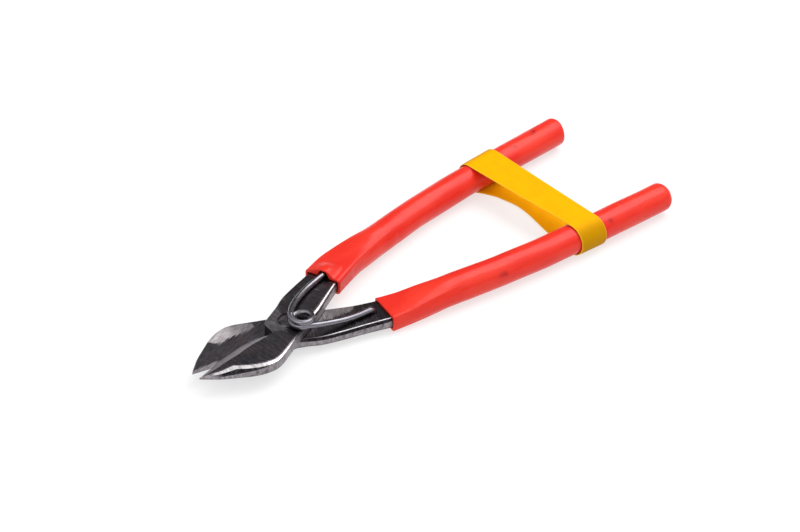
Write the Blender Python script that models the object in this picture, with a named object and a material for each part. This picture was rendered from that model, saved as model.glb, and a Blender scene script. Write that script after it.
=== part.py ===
"""Spring-loaded tinner's snips: two crossed forged levers on one rivet.

Frame: X runs from the blade tips to the handle ends, +Y is the side of the upper
lever's handle, +Z is up. The origin is the pivot axis where it meets the surface
that the snips lie on. The tables are in millimetres and become metres in place().
"""

import math

import bmesh
import bpy
from mathutils import Vector

MM = 0.001

# ---- driving dimensions, in millimetres ----
GAP = 0.3                # clearance between pieces that touch
FORGING = 4.8            # thickness of a blade and of the bar at the pivot
BAR_SWELL = 0.8          # how much thicker the bar is where the sleeves start
ROD_RADIUS = 5.75        # round end of each handle
SLEEVE_WALL = 1.15
BAND_WALL = 0.7
BAND_FRONT = (142.5, 138.5)   # X of the band's edge at the lower and the upper lever
BAND_BACK = 157.5        # X of its other edge
WIRE_RADIUS = 1.4

SLEEVE_RADIUS = ROD_RADIUS + GAP + SLEEVE_WALL
BAND_INNER = SLEEVE_RADIUS + GAP
BAND_OUTER = BAND_INNER + BAND_WALL
LAP_Z = BAND_OUTER       # height of the plane where the two levers meet

LAP_GAP = GAP / 2        # from that plane to either lever's face
BAR_TOP = LAP_GAP + FORGING

RIVET_SHANK = 3.9
RIVET_HEAD = 6.2
RIVET_UPSET = 4.8        # the hammered end, flush with the upper lever
UPSET_DEPTH = 1.6
ROUND_STEPS = 32

SPRING_HOLE = {"upper": (33.8, 14.4), "lower": (36.8, 15.4)}    # X, and Y to the outer side
SPRING_HOLE_RADIUS = WIRE_RADIUS + GAP

SIDES = 24               # points round each slice of a lever or sleeve

# The blade, from the tip to the pivot. Each row is one slice across the lever:
# cutting side x y, back x y, height of the cutting land, width of the cutting bevel,
# height at the top of the bevel, height of the top face at the back, width of the
# back chamfer, height of the flat back.
BLADE = [
    (-51.3, -2.5, -51.0, -3.3, 0.4, 0.2, 0.7, 0.9, 0.2, 0.6),
    (-46.0, -1.2, -45.0, -8.4, 0.4, 2.6, 1.7, 2.3, 2.4, 1.2),
    (-38.5, 0.9, -36.5, -13.9, 0.4, 4.4, 2.6, 3.8, 4.2, 2.2),
    (-30.0, 2.3, -28.5, -18.2, 0.4, 5.4, 3.2, 4.6, 1.9, 3.3),
    (-22.0, 3.2, -20.5, -19.2, 0.4, 5.5, 3.6, FORGING, 0.9, 4.0),
    (-18.0, 3.1, -16.4, -17.9, 0.5, 5.5, 3.9, FORGING, 0.7, 4.2),
    (-14.5, 2.2, -12.5, -16.0, 0.8, 4.7, 4.2, FORGING, 0.5, 4.3),
    (-12.2, 0.9, -10.0, -14.8, 1.2, 3.3, 4.4, FORGING, 0.5, 4.3),
    (-10.7, 0.0, -8.6, -14.1, 2.4, 2.0, 4.6, FORGING, 0.5, 4.3),
    (-10.0, 4.2, -7.4, -13.5, 4.2, 0.4, FORGING, FORGING, 0.5, 4.3),
    (-8.9, 5.8, -6.2, -13.0, 4.2, 0.4, FORGING, FORGING, 0.5, 4.3),
    (-6.5, 7.3, -4.8, -12.3, 4.1, 0.5, FORGING, FORGING, 0.5, 4.3),
]

# The handle, from the pivot to its end. Each row is centre x y, half width, underside,
# top, and how round the section is, from 0, a flat bar, to 1, a round rod.
HANDLE = [
    (4.0, 2.2, 9.6, LAP_GAP, BAR_TOP, 0.0),
    (12.0, 6.1, 9.8, LAP_GAP, BAR_TOP + 0.1, 0.0),
    (20.0, 9.6, 9.0, LAP_GAP, BAR_TOP + 0.25, 0.0),
    (30.0, 13.5, 7.9, LAP_GAP, BAR_TOP + 0.5, 0.0),
    (41.0, 17.3, 7.5, LAP_GAP, BAR_TOP + BAR_SWELL, 0.0),
    (50.0, 20.0, 7.1, -1.0, BAR_TOP + BAR_SWELL, 0.3),
    (60.0, 22.4, 6.7, -3.0, ROD_RADIUS, 0.6),
    (70.0, 24.6, 6.2, -4.8, ROD_RADIUS, 0.9),
    (80.0, 26.7, 5.9, -ROD_RADIUS, ROD_RADIUS, 1.0),
    (100.0, 29.9, ROD_RADIUS, -ROD_RADIUS, ROD_RADIUS, 1.0),
    (125.0, 32.7, ROD_RADIUS, -ROD_RADIUS, ROD_RADIUS, 1.0),
    (160.0, 35.2, ROD_RADIUS, -ROD_RADIUS, ROD_RADIUS, 1.0),
    (199.0, 37.0, ROD_RADIUS, -ROD_RADIUS, ROD_RADIUS, 1.0),
]
ROD_DOME = 1.2           # height of the rounded end of a rod
BAR_CHAMFER = 0.5
LAP_CHAMFER = 0.15       # of a blade's edges on the face that laps the other blade

SLEEVE_MOUTH = {"upper": 30.5, "lower": 41.4}    # where each sleeve starts, along X
MOUTH_SLANT = {"upper": 0.0, "lower": 0.15}      # how far a mouth leans, per unit across
SLEEVE_TIP = {"upper": 0.0, "lower": 2.0}        # slack past the end of the rod
MOUTH_ROOM = 3.0         # from a mouth to the next slice of the sleeve
BUMP = 3.2               # rise of the upper sleeve over the spring's arm
BUMP_MIDDLE = -0.4       # where the arm lies across the handle
BUMP_FLAT = 1.3          # half width of the top of the rise
BUMP_FAR = 8.8           # where the stretched skin meets the bar, beyond the wire
BUMP_NEAR = -6.2         # and on the side towards the other handle
BUMP_END = 42.0          # X where the sleeve is flat again

COIL_CENTRE = (3.3, -5.6)
COIL_RADIUS = 4.8
COIL_LOW = BAR_TOP + GAP + WIRE_RADIUS
COIL_PITCH = 2 * WIRE_RADIUS + 0.15
COIL_START = 140.0       # degrees, where the upper arm meets the upper turn
COIL_TURN = 484.0        # degrees of wrap
COIL_STEP = 14
BEND = 2.2               # radius of the wire's bend into each hole


def clear_scene():
    for thing in list(bpy.data.objects):
        bpy.data.objects.remove(thing, do_unlink=True)


def material(name, colour, roughness, metallic):
    mat = bpy.data.materials.new(name)
    mat.use_nodes = True
    shader = mat.node_tree.nodes["Principled BSDF"]
    shader.inputs["Base Color"].default_value = (*colour, 1.0)
    shader.inputs["Roughness"].default_value = roughness
    shader.inputs["Metallic"].default_value = metallic
    mat.diffuse_color = (*colour, 1.0)
    return mat


def place(point):
    """Millimetres about the lap plane to metres above the resting plane."""
    x, y, z = point
    return Vector((x, y, z + LAP_Z)) * MM


def flip(point):
    """The lower lever is the upper one turned half a turn about X, on the lap plane."""
    x, y, z = point
    return (x, -y, -z)


def lerp(a, b, t):
    return a + (b - a) * t


def smooth(t):
    """An eased step from 0 to 1 as t goes from 0 to 1."""
    t = min(max(t, 0.0), 1.0)
    return t * t * (3 - 2 * t)


def catmull(p0, p1, p2, p3, t):
    """One value of a smooth curve that passes through p1 and p2."""
    return 0.5 * (2 * p1 + (p2 - p0) * t + (2 * p0 - 5 * p1 + 4 * p2 - p3) * t ** 2
                  + (3 * p1 - p0 - 3 * p2 + p3) * t ** 3)


def smooth_rows(rows, steps, smooth_columns):
    """Adds rows in between: the first columns on a smooth curve, the rest straight."""
    result = []
    for i in range(len(rows) - 1):
        before = rows[max(i - 1, 0)]
        after = rows[min(i + 2, len(rows) - 1)]
        for step in range(steps):
            t = step / steps
            row = []
            for c in range(len(rows[i])):
                if c < smooth_columns:
                    row.append(catmull(before[c], rows[i][c], rows[i + 1][c], after[c], t))
                else:
                    row.append(lerp(rows[i][c], rows[i + 1][c], t))
            result.append(tuple(row))
    result.append(tuple(rows[-1]))
    return result


def handle_at(x):
    """Centre, half width, underside, top and roundness of the handle at any X."""
    last = len(HANDLE) - 2
    i = next((k for k in range(last) if HANDLE[k + 1][0] > x), last)
    before, a, b = HANDLE[max(i - 1, 0)], HANDLE[i], HANDLE[i + 1]
    after = HANDLE[min(i + 2, last + 1)]
    t = (x - a[0]) / (b[0] - a[0])
    if i == last:
        y = lerp(a[1], b[1], t)
    else:
        y = catmull(before[1], a[1], b[1], after[1], t)
    return (y, *(lerp(a[c], b[c], t) for c in range(2, 6)))


def handle_side(x):
    """Unit vector across the handle, towards its left side."""
    step = 0.5
    slope = (handle_at(x + step)[0] - handle_at(x - step)[0]) / (2 * step)
    return Vector((-slope, 1.0)).normalized()


def section(left, right, outline, roundness):
    """A closed ring between a left and a right point, as (x, y, z) tuples.

    outline holds the underside, the height of the left land, the width of the left
    bevel, its top, the height of the top at the right, the width of the right chamfer,
    the height of the right land, and the width of the two bottom chamfers.
    """
    bottom, left_land, left_bevel, left_top, right_top, right_bevel, right_land, edge = outline
    left, right = Vector(left), Vector(right)
    width = (left - right).length
    across = (left - right) / width
    centre = (left + right) / 2
    half = width / 2
    middle = (bottom + (left_top + right_top) / 2) / 2
    height = (left_top + right_top) / 2 - middle
    facets = SIDES // 2 - 3
    flat = [(half, left_land)]
    for k in range(facets + 1):
        t = k / facets
        u = lerp(half - left_bevel, right_bevel - half, t)
        flat.append((u, lerp(left_top, right_top, t)))
    flat.append((-half, right_land))
    flat.append((-half, bottom + edge))
    for k in range(facets + 1):
        flat.append((lerp(edge - half, half - edge, k / facets), bottom))
    flat.append((half, bottom + edge))
    ring = []
    for k, (u, v) in enumerate(flat):
        angle = 2 * math.pi * (k + 0.5) / SIDES
        u = lerp(u, half * math.cos(angle), roundness)
        v = lerp(v, middle + height * math.sin(angle), roundness)
        spot = centre + across * u
        ring.append((spot.x, spot.y, v))
    return ring


def handle_stops(start):
    """Where the handle's slices are: start, then those of the lever well beyond it."""
    stops = [start]
    for a, b in zip(HANDLE, HANDLE[1:]):
        pieces = 2 if b[0] <= 100.0 else 3
        for k in range(1, pieces + 1):
            x = lerp(a[0], b[0], k / pieces)
            if x >= start + MOUTH_ROOM:
                stops.append(x)
    return stops


def handle_ring(x, grow, rise=None, slant=0.0):
    """The handle's section at X, grown all round, with a local rise and a slanted plane."""
    y, half, bottom, top, roundness = handle_at(x)
    side = handle_side(x) * (half + grow)
    centre = Vector((x, y))
    edge = BAR_CHAMFER + 0.6 * grow
    low, high = bottom - grow, top + grow
    outline = (low, high - edge, edge, high, high, edge, high - edge, edge)
    across = handle_side(x)
    moved = []
    for px, py, pz in section(centre + side, centre - side, outline, roundness):
        off = (Vector((px, py)) - centre).dot(across)
        if rise:
            pz += rise(x, off, pz)
        moved.append((px + across.y * slant * off, py - across.x * slant * off, pz))
    return moved


def end_rings(grow, length, steps):
    """Rings that close the far end of a rod or sleeve in a dome of the given length."""
    rings = []
    x = HANDLE[-1][0]
    full = handle_ring(x, grow)
    y = handle_at(x)[0]
    along = handle_side(x)
    along = Vector((along.y, -along.x))
    for step in range(1, steps + 1):
        angle = math.pi / 2 * step / (steps + 0.6)
        shrink = math.cos(angle)
        push = along * length * math.sin(angle)
        rings.append([(x + (px - x) * shrink + push.x, y + (py - y) * shrink + push.y, pz * shrink)
                      for px, py, pz in full])
    return rings


def loft(name, rings, turned, mat, inner=None):
    """Skins a list of rings and closes both ends, or joins an inner skin at the first ring."""
    bm = bmesh.new()
    move = (lambda p: place(flip(p))) if turned else place

    def skin(loops, outward):
        layers = [[bm.verts.new(move(p)) for p in ring] for ring in loops]
        count = len(layers[0])
        for a, b in zip(layers, layers[1:]):
            for k in range(count):
                n = (k + 1) % count
                face = (a[k], a[n], b[n], b[k])
                bm.faces.new(face if outward else face[::-1])
        return layers

    outer = skin(rings, True)
    bm.faces.new(outer[-1])
    if inner:
        cavity = skin(inner, False)
        bm.faces.new(cavity[-1][::-1])
        count = len(outer[0])
        for k in range(count):
            n = (k + 1) % count
            bm.faces.new((outer[0][n], outer[0][k], cavity[0][k], cavity[0][n]))
    else:
        bm.faces.new(outer[0][::-1])
    bmesh.ops.recalc_face_normals(bm, faces=bm.faces)
    return finish_mesh(name, bm, mat)


def finish_mesh(name, bm, mat):
    mesh = bpy.data.meshes.new(name)
    bm.to_mesh(mesh)
    bm.free()
    mesh.shade_smooth()
    mesh.set_sharp_from_angle(angle=math.radians(30))
    mesh.materials.append(mat)
    obj = bpy.data.objects.new(name, mesh)
    bpy.context.collection.objects.link(obj)
    return obj


def turned_piece(name, profile, mat, centre=(0.0, 0.0)):
    """A solid of revolution about a vertical axis; profile is (radius, z), bottom to top."""
    bm = bmesh.new()
    rings = []
    for radius, z in profile:
        ring = []
        for k in range(ROUND_STEPS):
            angle = 2 * math.pi * k / ROUND_STEPS
            x = centre[0] + radius * math.cos(angle)
            y = centre[1] + radius * math.sin(angle)
            ring.append(bm.verts.new(place((x, y, z))))
        rings.append(ring)
    for a, b in zip(rings, rings[1:]):
        for k in range(ROUND_STEPS):
            n = (k + 1) % ROUND_STEPS
            bm.faces.new((a[k], a[n], b[n], b[k]))
    bm.faces.new(rings[0][::-1])
    bm.faces.new(rings[-1])
    return finish_mesh(name, bm, mat)


def cut(piece, cutter):
    """Takes the cutter out of the piece and leaves it as a hidden guide."""
    cutter.hide_render = True
    cutter.display_type = "WIRE"
    boolean = piece.modifiers.new(cutter.name, "BOOLEAN")
    boolean.operation = "DIFFERENCE"
    boolean.solver = "EXACT"
    boolean.object = cutter


def lever_rings():
    rings = []
    for row in smooth_rows(BLADE, 3, 4):
        lx, ly, rx, ry, land, bevel, bevel_top, back_top, chamfer, back_land = row
        outline = (LAP_GAP, LAP_GAP + land, bevel, LAP_GAP + bevel_top, LAP_GAP + back_top,
                   chamfer, LAP_GAP + back_land, LAP_CHAMFER)
        rings.append(section((lx, ly), (rx, ry), outline, 0.0))
    rings.extend(handle_ring(x, 0.0) for x in handle_stops(HANDLE[0][0]))
    rings.extend(end_rings(0.0, ROD_DOME, 2))
    return rings


def build_lever(which, mat):
    turned = which == "lower"
    lever = loft(which + "_blade_lever", lever_rings(), turned, mat)
    low, high = -BAR_TOP - 1.0, BAR_TOP + 1.0
    bore = RIVET_SHANK + GAP
    if turned:
        profile = [(bore, low), (bore, high)]
    else:
        mouth = RIVET_UPSET + GAP
        profile = [(bore, low), (bore, BAR_TOP - UPSET_DEPTH), (mouth, BAR_TOP), (mouth, high)]
    cut(lever, turned_piece(which + "_pivot_bore", profile, mat))
    x, y = SPRING_HOLE[which]
    centre = (x, -y) if turned else (x, y)
    profile = [(SPRING_HOLE_RADIUS, low), (SPRING_HOLE_RADIUS, high)]
    cut(lever, turned_piece(which + "_spring_hole", profile, mat, centre))
    return lever


def build_rivet(mat):
    """Flat round head below, shank through both levers, end hammered into a countersink."""
    floor = -LAP_Z
    head_top = -BAR_TOP - GAP
    top = BAR_TOP - 0.1
    profile = [
        (RIVET_HEAD - 1.1, floor),
        (RIVET_HEAD - 0.3, floor + 0.4),
        (RIVET_HEAD, floor + 1.2),
        (RIVET_HEAD, head_top),
        (RIVET_SHANK, head_top),
        (RIVET_SHANK, BAR_TOP - UPSET_DEPTH),
        (RIVET_UPSET, top - 0.2),
        (RIVET_UPSET - 0.5, top),
    ]
    return turned_piece("pivot_rivet", profile, mat)


def wire_rise(x, off, z):
    """How far the upper sleeve rises over the spring's arm, off millimetres to its side.

    The skin runs straight from the far edge up to the wire and drops steeply beyond it.
    """
    if z < 0:
        return 0.0
    fade = smooth((BUMP_END - x) / (BUMP_END - SPRING_HOLE["upper"][0] - WIRE_RADIUS))
    if off > BUMP_MIDDLE:
        t = (BUMP_FAR - off) / (BUMP_FAR - BUMP_MIDDLE - BUMP_FLAT)
        return BUMP * fade * min(max(t, 0.0), 1.0)
    return BUMP * fade * smooth((off - BUMP_NEAR) / (BUMP_MIDDLE - BUMP_FLAT - BUMP_NEAR))


def build_sleeve(which, mat):
    turned = which == "lower"
    rise = None if turned else wire_rise
    stops = handle_stops(SLEEVE_MOUTH[which])
    slants = [MOUTH_SLANT[which]] + [0.0] * (len(stops) - 1)
    outer_grow = GAP + SLEEVE_WALL
    outer = [handle_ring(x, outer_grow, rise, slant) for x, slant in zip(stops, slants)]
    inner = [handle_ring(x, GAP, rise, slant) for x, slant in zip(stops, slants)]
    outer.extend(end_rings(outer_grow, ROD_DOME + outer_grow + SLEEVE_TIP[which], 3))
    inner.extend(end_rings(GAP, ROD_DOME + GAP, 2))
    return loft(which + "_grip_sleeve", outer, turned, mat, inner)


def hook(which, slope, high, low):
    """The wire's end: off a straight arm, round the bend and down into its hole."""
    x, y = SPRING_HOLE[which]
    side = 1 if which == "upper" else -1
    along = Vector((1.0, slope)).normalized()
    points = []
    for step in range(5):
        angle = math.pi / 2 * step / 4
        spot = Vector((x, side * y)) - along * BEND * (1 - math.sin(angle))
        points.append((spot.x, spot.y, high - BEND * (1 - math.cos(angle))))
    points.append((x, side * y, low))
    return points


def spring_path():
    """The wire's centre line: upper arm, two stacked turns, lower arm."""
    cx, cy = COIL_CENTRE
    top = COIL_LOW + COIL_PITCH
    rest = WIRE_RADIUS + GAP
    ride = COIL_LOW + 0.65   # height of the arm where the upper bar is thicker
    upper = [
        (31.0, 13.4, ride - 0.1),
        (26.3, 12.5, ride - 0.2),
        (18.0, 10.2, ride - 0.2),
        (9.9, 6.4, COIL_LOW + 1.1),
        (4.3, 2.5, top - 0.8),
        (1.0, -0.7, top - 0.2),
    ]
    coil = []
    steps = round(COIL_TURN / COIL_STEP)
    for k in range(steps + 1):
        turn = COIL_TURN * k / steps
        angle = math.radians(COIL_START + turn)
        z = top - COIL_PITCH * min(turn / 360.0, 1.0)
        coil.append((cx + COIL_RADIUS * math.cos(angle), cy + COIL_RADIUS * math.sin(angle), z))
    lower = [
        (6.6, -11.0, COIL_LOW - 1.3),
        (12.0, -12.1, 4.1),
        (21.0, -13.6, 2.3),
        (28.0, -14.5, rest),
    ]
    first = hook("upper", 0.40, ride, 1.0)[::-1]
    last = hook("lower", -0.12, rest, -BAR_TOP + 0.8)
    before = smooth_rows(first[-1:] + upper + coil[:1], 3, 3)
    after = smooth_rows(coil[-1:] + lower + last[:1], 3, 3)
    return first[:-1] + before[:-1] + coil + after[1:-1] + last


def build_spring(mat):
    curve = bpy.data.curves.new("torsion_spring", "CURVE")
    curve.dimensions = "3D"
    curve.bevel_depth = WIRE_RADIUS * MM
    curve.bevel_resolution = 3
    curve.use_fill_caps = True
    path = spring_path()
    spline = curve.splines.new("POLY")
    spline.points.add(len(path) - 1)
    for point, spot in zip(spline.points, path):
        point.co = (*place(spot), 1.0)
    curve.materials.append(mat)
    obj = bpy.data.objects.new("torsion_spring", curve)
    bpy.context.collection.objects.link(obj)
    return obj


def band_loop(share, radius):
    """A loop round both sleeves, share of the way from the band's front edge to its back."""
    half_turn = 12
    loop = []
    for side in (1, -1):
        front = BAND_FRONT[1] if side > 0 else BAND_FRONT[0]
        x = lerp(front, BAND_BACK, share)
        y = handle_at(x)[0]
        for k in range(half_turn + 1):
            angle = math.pi * k / half_turn - math.pi / 2
            angle = angle if side > 0 else angle + math.pi
            loop.append((x, side * y + radius * math.cos(angle), radius * math.sin(angle)))
    return loop


def build_band(mat):
    bm = bmesh.new()
    shares = [0.0, 0.5, 1.0]
    outer = [[bm.verts.new(place(p)) for p in band_loop(t, BAND_OUTER)] for t in shares]
    inner = [[bm.verts.new(place(p)) for p in band_loop(t, BAND_INNER)] for t in shares]
    walls = list(zip(outer, outer[1:])) + list(zip(inner[1:], inner))
    walls += [(inner[0], outer[0]), (outer[-1], inner[-1])]
    for a, b in walls:
        for k in range(len(a)):
            n = (k + 1) % len(a)
            bm.faces.new((a[k], b[k], b[n], a[n]))
    bmesh.ops.recalc_face_normals(bm, faces=bm.faces)
    return finish_mesh("retaining_band", bm, mat)


def main():
    clear_scene()
    steel = material("forged_steel", (0.13, 0.13, 0.14), 0.38, 1.0)
    rivet_steel = material("rivet_steel", (0.06, 0.06, 0.065), 0.45, 1.0)
    wire = material("spring_wire", (0.35, 0.35, 0.38), 0.28, 1.0)
    vinyl = material("red_vinyl", (0.95, 0.07, 0.035), 0.35, 0.0)
    rubber = material("yellow_rubber", (0.95, 0.55, 0.01), 0.5, 0.0)
    for which in ("upper", "lower"):
        build_lever(which, steel)
        build_sleeve(which, vinyl)
    build_rivet(rivet_steel)
    build_spring(wire)
    build_band(rubber)


main()
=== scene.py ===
"""Looks of the spring-loaded tinner's snips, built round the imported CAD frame.

Tables are in millimetres about the plane where the two levers meet: X runs from the
blade tips to the handle ends, +Y is the upper lever's handle side, +Z is up.
"""

import math

import bmesh
import bpy
import numpy as np
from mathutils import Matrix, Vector, noise


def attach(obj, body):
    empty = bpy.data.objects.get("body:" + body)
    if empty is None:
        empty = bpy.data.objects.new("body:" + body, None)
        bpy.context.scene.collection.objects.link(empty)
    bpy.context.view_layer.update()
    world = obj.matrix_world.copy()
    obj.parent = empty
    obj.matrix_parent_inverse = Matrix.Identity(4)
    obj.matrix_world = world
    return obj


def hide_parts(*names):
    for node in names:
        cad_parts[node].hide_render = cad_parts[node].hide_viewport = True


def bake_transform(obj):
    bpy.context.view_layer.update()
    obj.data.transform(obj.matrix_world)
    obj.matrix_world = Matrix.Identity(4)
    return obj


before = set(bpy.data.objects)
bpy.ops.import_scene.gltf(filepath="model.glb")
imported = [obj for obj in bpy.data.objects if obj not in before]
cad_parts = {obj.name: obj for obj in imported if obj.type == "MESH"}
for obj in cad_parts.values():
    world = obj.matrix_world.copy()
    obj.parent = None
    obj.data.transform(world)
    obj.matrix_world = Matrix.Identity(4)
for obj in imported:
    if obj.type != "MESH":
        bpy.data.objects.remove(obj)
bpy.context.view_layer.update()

MM = 0.001

# ---- design dimensions, the same as the CAD's ----
GAP = 0.3                # between pieces that fit round one another
FORGING = 4.8            # thickness of the forging at the pivot
BAR_SWELL = 0.8          # how much thicker the bar is where it becomes the rod
ROD_RADIUS = 5.75
SLEEVE_WALL = 1.15
BAND_WALL = 0.7
WIRE_RADIUS = 1.4
SLEEVE_RADIUS = ROD_RADIUS + GAP + SLEEVE_WALL
BAND_INNER = SLEEVE_RADIUS + GAP
BAND_OUTER = BAND_INNER + BAND_WALL
LAP_Z = BAND_OUTER       # the lap plane's height when the snips rest on the band
LAP_GAP = GAP / 2        # from the lap plane to either lever
BAR_TOP = LAP_GAP + FORGING
RIVET_SHANK = 3.9        # radius, like the two below
RIVET_HEAD = 6.2
RIVET_UPSET = 4.8
UPSET_DEPTH = 1.6
SPRING_HOLE = {"upper": (33.8, 14.4), "lower": (36.8, 15.4)}
SPRING_HOLE_RADIUS = WIRE_RADIUS + GAP

# One slice across the blade a row, tip to pivot: cutting side x y, back x y, height of
# the cutting land, width of the cutting bevel, height at its top, distance of the
# polished ridge's inner line from the back, its height, distance of its outer line,
# its height, height of the flat back.
BLADE = [
    (-51.3, -2.5, -51.0, -3.3, 0.35, 0.2, 0.7, 0.35, 0.9, 0.2, 0.85, 0.5),
    (-46.0, -1.2, -45.0, -8.5, 0.4, 2.6, 1.75, 3.2, 2.35, 2.4, 2.1, 1.1),
    (-42.4, -0.2, -40.9, -11.3, 0.4, 3.7, 2.3, 4.4, 3.1, 3.3, 2.8, 1.7),
    (-38.5, 0.9, -36.5, -14.0, 0.4, 4.5, 2.65, 6.2, 3.9, 4.7, 3.5, 2.3),
    (-34.7, 1.6, -32.9, -16.2, 0.4, 5.1, 3.0, 4.9, 4.25, 3.1, 3.8, 2.8),
    (-30.0, 2.3, -28.5, -18.2, 0.4, 5.5, 3.2, 3.6, 4.65, 1.7, 4.15, 3.3),
    (-26.0, 2.9, -24.6, -19.1, 0.4, 5.5, 3.4, 2.6, 4.8, 0.7, 4.3, 3.8),
    (-22.0, 3.2, -20.5, -19.2, 0.4, 5.5, 3.6, 2.0, 4.8, 0.4, 4.3, 3.9),
    (-18.0, 3.1, -16.4, -17.9, 0.5, 5.5, 3.9, 1.6, 4.8, 0.35, 4.35, 3.95),
    (-14.5, 2.2, -12.5, -16.0, 0.8, 4.7, 4.2, 1.3, 4.8, 0.3, 4.4, 4.0),
    (-12.2, 0.9, -10.0, -14.8, 1.2, 3.3, 4.4, 1.2, 4.8, 0.3, 4.4, 4.0),
    (-10.7, 0.0, -8.6, -14.1, 2.4, 2.0, 4.6, 1.1, 4.8, 0.3, 4.45, 4.05),
    (-10.0, 4.2, -7.4, -13.5, 4.2, 0.4, 4.75, 1.0, 4.8, 0.3, 4.45, 4.05),
    (-8.9, 5.8, -6.2, -13.0, 4.2, 0.4, 4.8, 1.0, 4.8, 0.3, 4.5, 4.1),
    (-6.5, 7.3, -4.8, -12.3, 4.1, 0.5, 4.8, 0.9, 4.8, 0.3, 4.5, 4.1),
]
# The handle: centre x y, half width, underside, top, roundness, and the width of the
# polished ridge on the side towards the other handle. The first five rows are the bar.
HANDLE = [
    (4.0, 2.2, 9.6, LAP_GAP, BAR_TOP, 0.0, 1.1),
    (12.0, 6.1, 9.8, LAP_GAP, BAR_TOP + 0.1, 0.0, 1.2),
    (20.0, 9.6, 9.0, LAP_GAP, BAR_TOP + 0.25, 0.0, 0.9),
    (30.0, 13.5, 7.9, LAP_GAP, BAR_TOP + 0.5, 0.0, 0.6),
    (41.0, 17.3, 7.5, LAP_GAP, BAR_TOP + BAR_SWELL, 0.0, 0.5),
    (50.0, 20.0, 7.1, -1.0, BAR_TOP + BAR_SWELL, 0.3, 0.8),
    (60.0, 22.4, 6.7, -3.0, ROD_RADIUS, 0.6, 0.8),
    (70.0, 24.6, 6.2, -4.8, ROD_RADIUS, 0.9, 0.8),
    (80.0, 26.7, 5.9, -ROD_RADIUS, ROD_RADIUS, 1.0, 0.8),
    (100.0, 29.9, ROD_RADIUS, -ROD_RADIUS, ROD_RADIUS, 1.0, 0.8),
    (125.0, 32.7, ROD_RADIUS, -ROD_RADIUS, ROD_RADIUS, 1.0, 0.8),
    (160.0, 35.2, ROD_RADIUS, -ROD_RADIUS, ROD_RADIUS, 1.0, 0.8),
    (199.0, 37.0, ROD_RADIUS, -ROD_RADIUS, ROD_RADIUS, 1.0, 0.8),
]
BAR = HANDLE[:5]
ROD_DOME = 1.2           # length of the rod's rounded end
SLEEVE_MOUTH = {"upper": 30.5, "lower": 41.4}
MOUTH_SLANT = {"upper": 0.0, "lower": 0.15}
SLEEVE_TIP = {"upper": 0.0, "lower": 2.0}    # slack past the rod's end
BUMP = 3.2               # rise of the upper sleeve's inside over the spring's arm
BUMP_MIDDLE = -0.4       # where the arm lies across the handle
BUMP_FLAT = 1.3          # half width of the top of the rise
BUMP_REACH = 3.6         # half width of the room round the wire
BUMP_FADE = 32.5         # X where that room starts to shrink
BUMP_END = 38.0          # X where it ends
SWELL = 2.9              # rise of the sleeve's skin, stretched thinner there
SWELL_FAR = 8.8          # where the stretched skin leaves the bar, beyond the wire
SWELL_NEAR = -6.2        # and on the side towards the other handle
SWELL_END = 42.0

COIL_CENTRE = (3.3, -5.6)
COIL_RADIUS = 4.8
COIL_LOW = BAR_TOP + GAP + WIRE_RADIUS
COIL_PITCH = 2 * WIRE_RADIUS + 0.15
COIL_START = 140.0       # degrees from X where the coil begins, at its top
COIL_TURN = 484.0        # degrees that it turns
BEND = 2.2               # radius of the bends into the holes

# ---- small helpers ----


def place(point):
    """A point of the tables, in the frame's metres."""
    x, y, z = point
    return Vector((x, y, z + LAP_Z)) * MM


def flip(point):
    """The lower lever is the upper one turned half a turn about X."""
    x, y, z = point
    return (x, -y, -z)


def lerp(a, b, t):
    return a + (b - a) * t


def smooth(t):
    t = min(max(t, 0.0), 1.0)
    return t * t * (3 - 2 * t)


def catmull(p0, p1, p2, p3, t):
    return 0.5 * (2 * p1 + (p2 - p0) * t + (2 * p0 - 5 * p1 + 4 * p2 - p3) * t ** 2
                  + (3 * p1 - p0 - 3 * p2 + p3) * t ** 3)


def row_between(rows, i, t, curved):
    """A row at share t from row i to the next; the first columns follow a smooth curve."""
    before, a, b = rows[max(i - 1, 0)], rows[i], rows[i + 1]
    after = rows[min(i + 2, len(rows) - 1)]
    mixed = [catmull(before[c], a[c], b[c], after[c], t) for c in range(curved)]
    return mixed + [lerp(a[c], b[c], t) for c in range(curved, len(a))]


def handle_at(x):
    """Centre y, half width, underside, top, roundness and ridge width at any X."""
    last = len(HANDLE) - 2
    i = next((k for k in range(last) if HANDLE[k + 1][0] > x), last)
    a, b = HANDLE[i], HANDLE[i + 1]
    t = (x - a[0]) / (b[0] - a[0])
    return row_between(HANDLE, i, t, 2 if i < last else 0)[1:]


def handle_side(x):
    """Direction across the handle at X, away from the other handle."""
    slope = handle_at(x + 0.5)[0] - handle_at(x - 0.5)[0]
    return Vector((-slope, 1.0)).normalized()


CORNER_TURN = 6.0        # degrees of a round section that each corner takes up


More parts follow.
